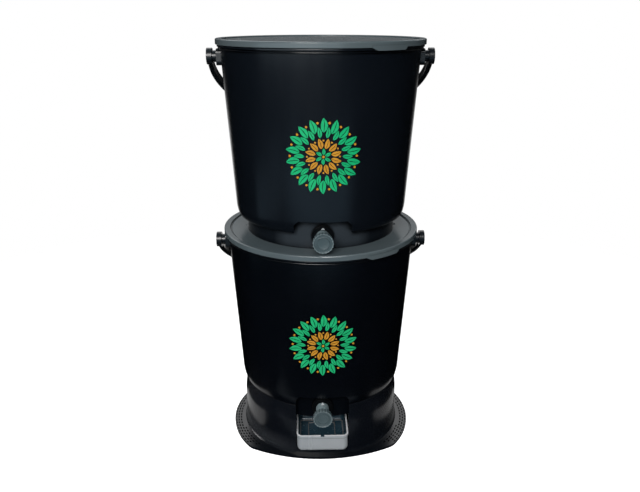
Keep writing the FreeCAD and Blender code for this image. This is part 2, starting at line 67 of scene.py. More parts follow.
FULL_TURN = 2 * math.pi
MERGE_DISTANCE = 1e-6

Socket = bpy.types.NodeSocket
Colour = tuple[float, float, float]
Span = tuple[float, float]

RISE: Span = (0.0, 1.0)
FALL: Span = (1.0, 0.0)
LEVEL = (1.0, 1.0, 0.0)
WHITE: Colour = (1.0, 1.0, 1.0)
# The bins' black comes in two copies as painted light: a darker shaded one for the lower bin and a paler,
# bluer lit one for the upper bin.
SOOT_TONES = ((0.0008, 0.0016, 0.0030), (0.0014, 0.0022, 0.0038))
LIT_NAVY_TONES = ((0.0026, 0.0042, 0.0066), (0.0034, 0.0050, 0.0076))


class Deck(Enum):
    """The two bins of the stack."""

    LOWER = "lower"
    UPPER = "upper"

    def node(self, piece: str) -> str:
        """Name of this bin's solid for a piece."""
        return f"{self.value}_{piece}"


class Ink(Enum):
    """Colours of the printed rosette, by the material index that they use."""

    LEAF = 0
    SEED = 1


class Axis(Enum):
    """The three axes, by the labels of a split vector."""

    X = "X"
    Y = "Y"
    Z = "Z"


class Blend(Enum):
    """Ways to mix two colours."""

    MIX = "MIX"
    ADD = "ADD"


def shaded(colour: Colour, share: float) -> Colour:
    """A colour at a share of its brightness."""
    return tuple(share * part for part in colour)


class NodeBoard:
    """Adds nodes to one shader tree and joins them."""

    MIX_FACTOR = 0
    MIX_COLOURS = (6, 7)
    MIX_RESULT = 2

    def __init__(self, tree: bpy.types.NodeTree) -> None:
        """Keeps the tree that is worked on."""
        self.tree = tree

    def add(self, kind: str, **settings: object) -> bpy.types.Node:
        """Adds a node.

        Args:
            kind: Blender's type name of the node.
            settings: properties to set on it.

        Returns:
            The new node.
        """
        node = self.tree.nodes.new(kind)
        for key, value in settings.items():
            setattr(node, key, value)
        return node

    def group(self, tree: bpy.types.NodeTree, **values: float) -> bpy.types.NodeOutputs:
        """Places a shared effect.

        Args:
            tree: the effect's node group.
            values: numbers for its inputs, by their labels.

        Returns:
            The effect's output sockets.
        """
        node = self.add("ShaderNodeGroup", node_tree=tree)
        for label, value in values.items():
            node.inputs[label].default_value = value
        return node.outputs

    def join(self, start: Socket, end: Socket) -> None:
        """Links one socket to another."""
        self.tree.links.new(start, end)

    def feed(self, end: Socket, value: Socket | float | Sequence[float]) -> None:
        """Links an input to a socket, or sets it to a plain value.

        Args:
            end: the input that is fed.
            value: a socket, or a value that the input can hold.
        """
        if isinstance(value, Socket):
            self.join(value, end)
        else:
            end.default_value = value

    def place(self) -> Socket:
        """Socket with the place on the piece, in the piece's own coordinates."""
        return self.add("ShaderNodeTexCoord").outputs["Object"]

    def normal(self) -> Socket:
        """Socket with the direction that the surface faces."""
        return self.add("ShaderNodeNewGeometry").outputs["Normal"]

    def along(self, vector: Socket, axis: Axis) -> Socket:
        """Takes a vector's part along an axis.

        Args:
            vector: the vector that is split.
            axis: the axis that is wanted.

        Returns:
            The socket with that part.
        """
        split = self.add("ShaderNodeSeparateXYZ")
        self.join(vector, split.inputs["Vector"])
        return split.outputs[axis.value]

    def vector(
            self, operation: str, first: Socket, second: Socket | Sequence[float] | None = None,
    ) -> bpy.types.Node:
        """Adds a step of vector arithmetic.

        Args:
            operation: Blender's name of the step.
            first: the vector that is worked on.
            second: the other vector, as a socket or as numbers, where the step has one.

        Returns:
            The node, with the outputs Vector and Value.
        """
        node = self.add("ShaderNodeVectorMath", operation=operation)
        self.join(first, node.inputs[0])
        if second is not None:
            self.feed(node.inputs[1], second)
        return node

    def noise(self, vector: Socket, scale: Socket | float, detail: float) -> Socket:
        """Adds a noise texture on a vector.

        Args:
            vector: the coordinates that it reads.
            scale: the noise's scale, per metre, as a socket or a number.
            detail: octaves of finer noise.

        Returns:
            The socket with the noise.
        """
        node = self.add("ShaderNodeTexNoise")
        self.join(vector, node.inputs["Vector"])
        self.feed(node.inputs["Scale"], scale)
        node.inputs["Detail"].default_value = detail
        return node.outputs["Fac"]

    def spread(self, value: Socket, source: Span, target: Span) -> Socket:
        """Maps a value from one range to another, with its ends held.

        Args:
            value: the socket that is read.
            source: low and high end of what comes in.
            target: low and high end of what goes out.

        Returns:
            The socket with the mapped value.
        """
        node = self.add("ShaderNodeMapRange", clamp=True)
        labels = ("From Min", "From Max", "To Min", "To Max")
        for label, number in zip(labels, (*source, *target)):
            node.inputs[label].default_value = number
        self.join(value, node.inputs["Value"])
        return node.outputs["Result"]

    def product(self, first: Socket, second: Socket) -> Socket:
        """Multiplies two values.

        Args:
            first: the one value.
            second: the other value.

        Returns:
            The socket with the product.
        """
        node = self.add("ShaderNodeMath", operation="MULTIPLY")
        self.join(first, node.inputs[0])
        self.join(second, node.inputs[1])
        return node.outputs["Value"]

    def band(self, value: Socket, start: Span, end: Span) -> Socket:
        """Mask that rises over one span of a value and falls over another one."""
        return self.product(self.spread(value, start, RISE), self.spread(value, end, FALL))

    def mixed(
            self, factor: Socket, start: Socket | Colour, end: Socket | Colour, blend: Blend = Blend.MIX,
    ) -> Socket:
        """Mixes two colours by a factor.

        Args:
            factor: socket that says how much of the second colour is taken.
            start: the first colour, or a socket with it.
            end: the second colour, or a socket with it.
            blend: the way of mixing.

        Returns:
            The socket with the mixed colour.
        """
        node = self.add("ShaderNodeMix", data_type="RGBA", blend_type=blend.value)
        self.join(factor, node.inputs[self.MIX_FACTOR])
        for index, colour in zip(self.MIX_COLOURS, (start, end)):
            self.feed(node.inputs[index], colour if isinstance(colour, Socket) else (*colour, 1.0))
        return node.outputs[self.MIX_RESULT]


@dataclass
class SurfaceEffects:
    """Node groups that several finishes share: moulded grain, drawn streaks, settled dust and painted
    crevice shade.
    """

    grain_detail: float = 2.0
    tone_detail: float = 3.0
    tone_noise: Span = (0.3, 0.7)
    streak_detail: float = 4.0
    streak_noise: Span = (0.32, 0.68)
    facing_up: Span = (0.55, 0.98)
    speck_scale: float = 160.0
    speck_detail: float = 5.0
    speck_noise: Span = (0.35, 0.75)
    speck_cover: Span = (0.15, 1.0)
    crevice_samples: int = 8
    crevice_opening: Span = (0.30, 0.85)

    def __post_init__(self) -> None:
        """Builds each group once."""
        self.grain = self._grain()
        self.streaks = self._streaks()
        self.dust = self._dust()
        self.crevice_shade = self._crevice_shade()

    @staticmethod
    def _start(
            name: str, inputs: dict[str, float], outputs: Iterable[str],
    ) -> tuple[NodeBoard, bpy.types.NodeOutputs, bpy.types.NodeInputs]:
        """Opens a node group.

        Args:
            name: the group's name.
            inputs: labels and default values of its inputs.
            outputs: labels of its outputs.

        Returns:
            The board, the sockets that bring the inputs and the sockets that take the outputs.
        """
        tree = bpy.data.node_groups.new(name, "ShaderNodeTree")
        for label, value in inputs.items():
            socket = tree.interface.new_socket(name=label, in_out="INPUT", socket_type="NodeSocketFloat")
            socket.default_value = value
        for label in outputs:
            tree.interface.new_socket(name=label, in_out="OUTPUT", socket_type="NodeSocketFloat")
        board = NodeBoard(tree)
        source = board.add("NodeGroupInput")
        sink = board.add("NodeGroupOutput")
        return board, source.outputs, sink.inputs

    def _grain(self) -> bpy.types.NodeTree:
        """Fine moulded grain (Height) and slow unevenness of tone (Tone).

        Returns:
            The node group.
        """
        inputs = {"Scale": 900.0, "Patch": 14.0}
        board, source, sink = self._start("moulded_grain", inputs, ("Height", "Tone"))
        place = board.place()
        board.join(board.noise(place, source["Scale"], self.grain_detail), sink["Height"])
        slow = board.noise(place, source["Patch"], self.tone_detail)
        board.join(board.spread(slow, self.tone_noise, RISE), sink["Tone"])
        return board.tree

    def _streaks(self) -> bpy.types.NodeTree:
        """Faint upright streaks left by drawing the part from its mould, and by handling (Mask).

        Returns:
            The node group.
        """
        inputs = {"Scale": 70.0, "Stretch": 0.05}
        board, source, sink = self._start("drawn_streaks", inputs, ("Mask",))
        squeeze = board.add("ShaderNodeCombineXYZ")
        squeeze.inputs["X"].default_value = 1.0
        squeeze.inputs["Y"].default_value = 1.0
        board.join(source["Stretch"], squeeze.inputs["Z"])
        scaled = board.vector("MULTIPLY", board.place(), squeeze.outputs["Vector"])
        drawn = board.noise(scaled.outputs["Vector"], source["Scale"], self.streak_detail)
        board.join(board.spread(drawn, self.streak_noise, RISE), sink["Mask"])
        return board.tree

    def _dust(self) -> bpy.types.NodeTree:
        """Thin dust on faces that look up (Mask).

        Returns:
            The node group.
        """
        board, source, sink = self._start("settled_dust", {"Amount": 0.1}, ("Mask",))
        upward = board.spread(board.along(board.normal(), Axis.Z), self.facing_up, RISE)
        specks = board.noise(board.place(), self.speck_scale, self.speck_detail)
        settled = board.product(upward, board.spread(specks, self.speck_noise, self.speck_cover))
        board.join(board.product(settled, source["Amount"]), sink["Mask"])
        return board.tree

    def _crevice_shade(self) -> bpy.types.NodeTree:
        """Painted shade: darkening in grooves and where pieces meet, found by ambient occlusion (Mask).

        Returns:
            The node group.
        """
        board, source, sink = self._start("painted_crevice_shade", {"Amount": 0.8, "Reach": 0.004}, ("Mask",))
        # painted shade: ambient occlusion darkens grooves and the places where pieces meet
        crevice = board.add("ShaderNodeAmbientOcclusion", samples=self.crevice_samples)
        board.join(source["Reach"], crevice.inputs["Distance"])
        deep = board.spread(crevice.outputs["AO"], self.crevice_opening, FALL)
        board.join(board.product(deep, source["Amount"]), sink["Mask"])
        return board.tree


@dataclass(frozen=True)
class MouldedPlastic:
    """A moulded plastic or rubber with grain, streaks, painted crevice shade and a little dust."""

    name: str
    colour: Colour
    tone: Colour
    roughness: float
    unevenness: float
    specular: float
    grain_scale: float = 900.0
    grain_depth: float = 0.00004
    grain_strength: float = 0.25
    patch_scale: float = 14.0
    streak_scale: float = 70.0
    dust: float = 0.03
    dust_colour: Colour = (0.42, 0.41, 0.39)
    # painted shade in crevices and where pieces meet: its amount, reach and darkness
    crevice_shade: float = 0.8
    crevice_shade_reach: float = 0.004
    crevice_shade_share: float = 0.12
    transmission: float = 0.0
    ior: float = 1.49

    def body(self, board: NodeBoard, tone: Socket) -> Socket:
        """Colour of the clean plastic, uneven by the tone mask."""
        return board.mixed(tone, self.colour, self.tone)

    def shine(self, board: NodeBoard, level: Socket) -> None:
        """Sets how strongly the plastic reflects."""
        board.feed(level, self.specular)

    def material(self, effects: SurfaceEffects) -> bpy.types.Material:
        """Builds the material.

        Args:
            effects: the shared node groups.

        Returns:
            The finished material.
        """
        material = bpy.data.materials.new(self.name)
        material.use_nodes = True
        material.node_tree.nodes.clear()
        board = NodeBoard(material.node_tree)
        sink = board.add("ShaderNodeOutputMaterial")
        shader = board.add("ShaderNodeBsdfPrincipled")
        board.join(shader.outputs["BSDF"], sink.inputs["Surface"])
        grain = board.group(effects.grain, Scale=self.grain_scale, Patch=self.patch_scale)
        streaks = board.group(effects.streaks, Scale=self.streak_scale)
        dust = board.group(effects.dust, Amount=self.dust)
        # painted shade: the colour is darkened in crevices and where pieces meet
        crevice_shade = board.group(effects.crevice_shade, Amount=self.crevice_shade, Reach=self.crevice_shade_reach)
        dusty = board.mixed(dust["Mask"], self.body(board, grain["Tone"]), self.dust_colour)
        crevice_shaded = board.mixed(crevice_shade["Mask"], dusty, shaded(self.colour, self.crevice_shade_share))
        board.join(crevice_shaded, shader.inputs["Base Color"])
        rough = (self.roughness - self.unevenness, self.roughness + self.unevenness)
        board.join(board.spread(streaks["Mask"], RISE, rough), shader.inputs["Roughness"])
        bump = board.add("ShaderNodeBump")
        bump.inputs["Strength"].default_value = self.grain_strength
        bump.inputs["Distance"].default_value = self.grain_depth
        board.join(grain["Height"], bump.inputs["Height"])
        board.join(bump.outputs["Normal"], shader.inputs["Normal"])
        self.shine(board, shader.inputs["Specular IOR Level"])
        shader.inputs["Transmission Weight"].default_value = self.transmission
        shader.inputs["IOR"].default_value = self.ior
        return material


@dataclass(frozen=True)
class CollaredPlastic(MouldedPlastic):
    """A plastic whose rear part, behind a plane across Y, is a dull collar of another colour."""

    collar: Colour = (0.002, 0.0026, 0.0032)
    collar_specular: float = 0.05
    collar_front: float = -0.1228
    collar_blur: float = 0.0001

    def behind(self, board: NodeBoard, target: Span) -> Socket:
        """Value that changes at the collar's front.

        Args:
            board: the material's nodes.
            target: the values before the plane and behind it.

        Returns:
            The socket with the value.
        """
        edge = (self.collar_front - self.collar_blur, self.collar_front + self.collar_blur)
        return board.spread(board.along(board.place(), Axis.Y), edge, target)

    def body(self, board: NodeBoard, tone: Socket) -> Socket:
        """Colour of the clean plastic, with the collar's colour behind its plane."""
        return board.mixed(self.behind(board, RISE), super().body(board, tone), self.collar)

    def shine(self, board: NodeBoard, level: Socket) -> None:
        """Dulls the collar."""
        board.join(self.behind(board, (self.specular, self.collar_specular)), level)


@dataclass(frozen=True)
class FootedPlastic(MouldedPlastic):
    """A plastic with painted light on the foot, which stands back from the belly: the foot's front is paler,
    where the front lamps fall.
    """

    # painted light: the paler colour of the foot's front, where the front lamps fall
    foot_front_light: Colour = (0.026, 0.033, 0.040)
    foot_edge: Span = (0.1205, 0.1225)
    foot_shine: float = 0.12
    front_edge: Span = (-0.104, -0.092)
    side_light_share: float = 0.12
    underside: Span = (-0.40, -0.12)
    underside_shine: float = 0.1

    def foot(self, board: NodeBoard) -> Socket:
        """Mask of what lies within the foot's radius.

        Args:
            board: the material's nodes.

        Returns:
            The socket with the mask.
        """
        flat = board.vector("MULTIPLY", board.place(), LEVEL)
        radius = board.vector("LENGTH", flat.outputs["Vector"])
        return board.spread(radius.outputs["Value"], self.foot_edge, FALL)

    def body(self, board: NodeBoard, tone: Socket) -> Socket:
        """Colour of the clean plastic, paler at the front of the foot and a little at its sides, as painted
        light.

        Args:
            board: the material's nodes.
            tone: mask of the slow unevenness.

        Returns:
            The socket with the colour.
        """
        # painted light: the foot's front gets the paler colour, its sides a small share of it
        front = board.spread(board.along(board.place(), Axis.Y), self.front_edge, (1.0, self.side_light_share))
        front_light = board.product(self.foot(board), front)
        return board.mixed(front_light, super().body(board, tone), self.foot_front_light)

    def shine(self, board: NodeBoard, level: Socket) -> None:
        """Dulls the foot and the faces that look down, which are rubbed by stacking.

        Args:
            board: the material's nodes.
            level: the shader's input for the reflection.
        """
        target = (self.underside_shine * self.specular, self.specular)
        upright = board.spread(board.along(board.normal(), Axis.Z), self.underside, target)
        clean = board.spread(self.foot(board), RISE, (1.0, self.foot_shine))
        board.join(board.product(upright, clean), level)


@dataclass(frozen=True)
class FlangedPlastic(MouldedPlastic):
    """A plastic that is dull on its flat flange, with a painted highlight low on its left side."""

    # painted highlight: the paler colour low on the left of the wall, and the heights and sides where it
    # lies
    low_left_highlight: Colour = (0.022, 0.025, 0.029)
    highlight_start: Span = (0.0045, 0.010)
    highlight_end: Span = (0.016, 0.036)
    highlight_sides: Span = (-0.105, -0.020)
    flat_facing: Span = (0.80, 0.98)
    flat_shine: float = 0.6

    def body(self, board: NodeBoard, tone: Socket) -> Socket:
        """Colour of the clean plastic, paler low on the wall's left side as a painted highlight.

        Args:
            board: the material's nodes.
            tone: mask of the slow unevenness.

        Returns:
            The socket with the colour.
        """
        place = board.place()
        # painted highlight low on the wall's left side
        low = board.band(board.along(place, Axis.Z), self.highlight_start, self.highlight_end)
        left = board.spread(board.along(place, Axis.X), self.highlight_sides, FALL)
        return board.mixed(board.product(low, left), super().body(board, tone), self.low_left_highlight)

    def shine(self, board: NodeBoard, level: Socket) -> None:
        """Dulls the faces that look straight up."""
        target = (self.specular, self.flat_shine * self.specular)
        board.join(board.spread(board.along(board.normal(), Axis.Z), self.flat_facing, target), level)


@dataclass(frozen=True)
class ClearCup(MouldedPlastic):
    """Frosted clear plastic of the cup, with painted light: painted shade inside, painted highlights on the
    rim and on the inner ridges, and a painted shadow line below the rim.
    """

    # painted light: the shade inside, the highlight on the rim and ridges, the shadow line below the rim
    inside_shade: Colour = (0.026, 0.062, 0.088)
    inner_facing: Span = (0.001, 0.006)
    edge: Colour = (0.80, 0.82, 0.84)
    middle: tuple[float, float, float] = (0.0, -0.089, 0.0)
    rim_height: float = 0.0427
    ridge_highlight_band: Span = (0.0144, 0.0156)
    ridge_highlight_share: float = 0.20
    lip_shadow_band: Span = (0.0374, 0.0382)
    line: Colour = (0.13, 0.145, 0.155)
    blur: float = 0.0002

    def step(self, height: float) -> Span:
        """Short span of heights in which a band starts or ends."""
        return (height, height + self.blur)

    def body(self, board: NodeBoard, tone: Socket) -> Socket:
        """Colour of the clean plastic with painted light: painted shade on faces that look to the cup's
        middle, painted highlights on the rim and the inner ridges, and a painted shadow line below the rim.

        Args:
            board: the material's nodes.
            tone: mask of the slow unevenness.

        Returns:
            The socket with the colour.
        """
        place = board.place()
        height = board.along(place, Axis.Z)
        outward = board.vector("SUBTRACT", place, self.middle)
        flat = board.vector("MULTIPLY", outward.outputs["Vector"], LEVEL)
        facing = board.vector("DOT_PRODUCT", flat.outputs["Vector"], board.normal())
        inner = board.spread(facing.outputs["Value"], self.inner_facing, FALL)
        outer = board.spread(inner, RISE, FALL)
        # painted shade inside, painted highlights on the inner ridges and the rim, a painted shadow line
        # below the rim
        colour = board.mixed(inner, super().body(board, tone), self.inside_shade)
        ridge = board.product(board.band(height, *map(self.step, self.ridge_highlight_band)), inner)
        colour = board.mixed(ridge, colour, shaded(self.edge, self.ridge_highlight_share))
        line = board.product(board.band(height, *map(self.step, self.lip_shadow_band)), outer)
        colour = board.mixed(line, colour, self.line)
        return board.mixed(board.spread(height, self.step(self.rim_height), RISE), colour, self.edge)


class Finish(Enum):
    """The finishes of the stack."""

    # Painted light: the bins' black as a darker shaded copy for the lower bin and a paler, bluer lit copy
    # for the upper bin; the upper sump also gets strong painted shade for the shadow in its notch.
    BIN_BLACK = MouldedPlastic("bin_black", *SOOT_TONES, 0.22, 0.015, 0.45, dust=0.002)
    LIT_NAVY_BLACK = MouldedPlastic("lit_navy_black", *LIT_NAVY_TONES, 0.22, 0.015, 0.45, dust=0.002)
    LIT_SUMP_BLACK = FootedPlastic(
        "lit_sump_black", *LIT_NAVY_TONES, 0.22, 0.015, 0.45, dust=0.002, crevice_shade=0.95, crevice_shade_reach=0.016)
    SHADED_SUMP = FootedPlastic(
        "shaded_sump", *SOOT_TONES, 0.22, 0.015, 0.45, dust=0.002, foot_front_light=(0.0014, 0.0022, 0.0036))
    STAND_BLACK = FlangedPlastic(
        "stand_black", (0.0022, 0.0034, 0.0056), (0.0032, 0.0044, 0.0068), 0.23, 0.02, 0.5,
        grain_scale=700.0, dust=0.006)
    # painted shade: the tread's dashes are near black to stand for the shade in the flange's dots
    TREAD_SHADE = MouldedPlastic(
        "tread_painted_shade", (0.0004, 0.0005, 0.0007), (0.0006, 0.0007, 0.0009), 0.60, 0.03, 0.02, dust=0.0)
    HANDLE_BLACK = MouldedPlastic(
        "handle_black", (0.0026, 0.0046, 0.0066), (0.0042, 0.0062, 0.0086), 0.28, 0.05, 0.45, dust=0.002)
    LID_SLATE = MouldedPlastic(
        "lid_slate", (0.068, 0.090, 0.099), (0.082, 0.104, 0.113), 0.24, 0.02, 0.5,
        grain_scale=800.0, grain_strength=0.3, dust=0.01, crevice_shade=0.6, crevice_shade_reach=0.003)
    STRAINER_BLACK = MouldedPlastic(
        "strainer_black", (0.010, 0.012, 0.014), (0.014, 0.016, 0.018), 0.45, 0.05, 0.4)
    TAP_SLATE = MouldedPlastic(
        "tap_slate", (0.042, 0.066, 0.075), (0.053, 0.079, 0.088), 0.36, 0.06, 0.5,
        grain_scale=1400.0, streak_scale=180.0)
    # painted highlight: the paler finish of the knob's rim, whose alternate ridge flanks keep the darker
    # finish as painted shade
    TAP_RIM_HIGHLIGHT = MouldedPlastic(
        "tap_rim_highlight", (0.110, 0.150, 0.163), (0.135, 0.176, 0.190), 0.40, 0.04, 0.5,
        grain_scale=1400.0, streak_scale=180.0)
    TAP_COLLARED = CollaredPlastic(
        "tap_collared", (0.200, 0.270, 0.290), (0.230, 0.300, 0.320), 0.36, 0.06, 0.5,
        grain_scale=1400.0, streak_scale=180.0, dust=0.0, crevice_shade=0.2)
    CUP_CLEAR = ClearCup(
        "cup_clear", (0.27, 0.295, 0.315), (0.30, 0.322, 0.340), 0.26, 0.03, 0.5,
        grain_strength=0.05, dust=0.0, crevice_shade=0.3, transmission=0.12)
    SEAL_RUBBER = MouldedPlastic(
        "seal_rubber", (0.003, 0.003, 0.0034), (0.005, 0.005, 0.0055), 0.62, 0.08, 0.08,
        grain_strength=0.5, dust=0.0)
    PRINT_GREEN = MouldedPlastic(
        "print_green", (0.0, 0.335, 0.118), (0.004, 0.40, 0.150), 0.48, 0.05, 0.3,
        grain_strength=0.1, patch_scale=120.0, dust=0.0)
    PRINT_OCHRE = MouldedPlastic(
        "print_ochre", (0.430, 0.190, 0.008), (0.500, 0.235, 0.016), 0.48, 0.05, 0.3,
        grain_strength=0.1, patch_scale=120.0, dust=0.0)
    MARK_WHITE = MouldedPlastic(
        "mark_white", (0.60, 0.66, 0.68), (0.66, 0.71, 0.73), 0.50, 0.05, 0.3, grain_strength=0.1, dust=0.0)


class FinishShelf:
    """Builds each finish's material once and hands it out."""

    def __init__(self) -> None:
        """Builds the shared effects."""
        self.effects = SurfaceEffects()
        self.built: dict[Finish, bpy.types.Material] = {}

    def take(self, finish: Finish) -> bpy.types.Material:
        """Hands out a finish, which is built at its first use.

        Args:
            finish: the finish that is wanted.

        Returns:
            Its material.
        """
        if finish not in self.built:
            self.built[finish] = finish.value.material(self.effects)
        return self.built[finish]


def make_object(
        name: str, shape: bmesh.types.BMesh, finishes: Sequence[bpy.types.Material]) -> bpy.types.Object:
    """Turns a bmesh into an object at the origin.

    Args:
        name: the piece's name.
        shape: the bmesh, which is freed.
        finishes: materials, in the order of the faces' material indices.

    Returns:
        The new object.
    """
    bmesh.ops.recalc_face_normals(shape, faces=shape.faces)
    mesh = bpy.data.meshes.new(name)
    shape.to_mesh(mesh)
    shape.free()
    for finish in finishes:
        mesh.materials.append(finish)
    piece = bpy.data.objects.new(name, mesh)
    bpy.context.scene.collection.objects.link(piece)
    return piece


def smooth_by_angle(piece: bpy.types.Object, degrees: float) -> None:
    """Shades a piece smooth, with edges sharper than an angle kept sharp."""
    piece.data.shade_smooth()
    piece.data.set_sharp_from_angle(angle=math.radians(degrees))


@dataclass(frozen=True)
class PrintRing:
    """Equal shapes in a ring round the print's centre."""

    count: int
    offset: float

    def turns(self) -> list[float]:
        """Directions of the shapes, in radians from straight up."""
        return [FULL_TURN * (step + self.offset) / self.count for step in range(self.count)]


@dataclass(frozen=True)
class LeafRing(PrintRing):
    """A ring of leaves."""

    base: float
    length: float
    width: float
    ink: Ink


@dataclass(frozen=True)
class SeedRing(PrintRing):
    """A ring of round seeds."""

    distance: float
    radius: float


@dataclass
class Rosette:
    """Round print of leaves and seeds on the front of one bin."""

    deck: Deck
    heel_radius: float = 133.2 * MM
    heel_height: float = 38.5 * MM
    lean: float = 0.06387
    centre_height: float = 140.0 * MM
    centre_shift: float = 0.4 * MM
    lift: float = 0.14 * MM
    film: float = 0.06 * MM
    vein: float = 0.10
    broadest: float = 0.85
    fullness: float = 0.8
    bend: float = 0.12
    rows: int = 10
    seed_sides: int = 20
    leaf_rings: tuple[LeafRing, ...] = (
        LeafRing(18, 0.0, 33.0 * MM, 20.0 * MM, 9.5 * MM, Ink.LEAF),
        LeafRing(18, 0.5, 26.0 * MM, 15.0 * MM, 6.0 * MM, Ink.LEAF),
        LeafRing(12, 0.5, 11.0 * MM, 14.5 * MM, 7.0 * MM, Ink.SEED),
        LeafRing(6, 0.0, 2.6 * MM, 9.0 * MM, 4.6 * MM, Ink.LEAF))
    seed_rings: tuple[SeedRing, ...] = (
        SeedRing(18, 0.5, 46.5 * MM, 1.7 * MM),
        SeedRing(12, 0.0, 22.5 * MM, 1.3 * MM),
        SeedRing(1, 0.0, 0.0, 1.8 * MM))

    def __post_init__(self) -> None:
        """Finds the height of the bin's foot."""
        self.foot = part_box(self.deck.node("bin_sump"))[0].z

    def on_wall(self, across: float, up: float) -> Vector:
        """Point on the bin's wall.

        Args:
            across: distance to the right of the print's centre, along the wall.
            up: distance above the print's centre.

        Returns:
            The point, lifted off the wall by the film's seat.
        """
        height = self.centre_height + up
        radius = self.heel_radius + self.lean * (height - self.heel_height) + self.lift
        angle = (self.centre_shift + across) / radius
        return Vector((radius * math.sin(angle), -radius * math.cos(angle), self.foot + height))

    @staticmethod
    def tint(verts: Iterable[bmesh.types.BMVert], ink: Ink) -> None:
        """Gives the faces round some vertices their ink."""
        for face in {face for vert in verts for face in vert.link_faces}:
            face.material_index = ink.value

    @staticmethod
    def looks_in(face: bmesh.types.BMFace) -> bool:
        """Whether a face looks towards the bin's axis."""
        return face.normal.dot(face.calc_center_median() * Vector(LEVEL)) < 0

    def leaf(self, shape: bmesh.types.BMesh, ring: LeafRing, turn: float) -> None:
        """Adds one leaf in two halves with a bare vein between them.

        Args:
            shape: the bmesh that takes it.
            ring: the ring that the leaf belongs to.
            turn: its direction, in radians from straight up.
        """
        for side in (-1, 1):
            grid = bmesh.ops.create_grid(shape, x_segments=2, y_segments=self.rows, size=0.5)
            for vert in grid["verts"]:
                along = vert.co.y + 0.5
                swell = math.sin(math.pi * along ** self.broadest) ** self.fullness if 0 < along < 1 else 0.0
                half = (self.vein + (1 - self.vein) * (vert.co.x + 0.5)) * ring.width / 2
                out = side * half * swell + self.bend * ring.width * math.sin(math.pi * along)
                reach = ring.base + along * ring.length
                across = reach * math.sin(turn) + out * math.cos(turn)
                up = reach * math.cos(turn) - out * math.sin(turn)
                vert.co = self.on_wall(across, up)
            self.tint(grid["verts"], ring.ink)

    def seed(self, shape: bmesh.types.BMesh, ring: SeedRing, turn: float) -> None:
        """Adds one round seed.

        Args:
            shape: the bmesh that takes it.
            ring: the ring that the seed belongs to.
            turn: its direction, in radians from straight up.
        """
        disc = bmesh.ops.create_circle(
            shape, cap_ends=True, cap_tris=True, radius=ring.radius, segments=self.seed_sides)
        for vert in disc["verts"]:
            across = ring.distance * math.sin(turn) + vert.co.x
            up = ring.distance * math.cos(turn) + vert.co.y
            vert.co = self.on_wall(across, up)
        self.tint(disc["verts"], Ink.SEED)

    def build(self, shelf: FinishShelf) -> bpy.types.Object:
        """Builds the print as one thin film.

        Args:
            shelf: the finishes.

        Returns:
            The print's object.
        """
        shape = bmesh.new()
        for rings, add in ((self.leaf_rings, self.leaf), (self.seed_rings, self.seed)):
            for ring in rings:
                for turn in ring.turns():
                    add(shape, ring, turn)
        bmesh.ops.remove_doubles(shape, verts=shape.verts, dist=MERGE_DISTANCE)
        inward = [face for face in shape.faces if self.looks_in(face)]
        bmesh.ops.reverse_faces(shape, faces=inward)
        bmesh.ops.solidify(shape, geom=shape.faces[:], thickness=-self.film)
        name = self.deck.node("printed_rosette")
        piece = make_object(name, shape, [shelf.take(Finish.PRINT_GREEN), shelf.take(Finish.PRINT_OCHRE)])
        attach(piece, self.deck.node("bin"))
        return piece


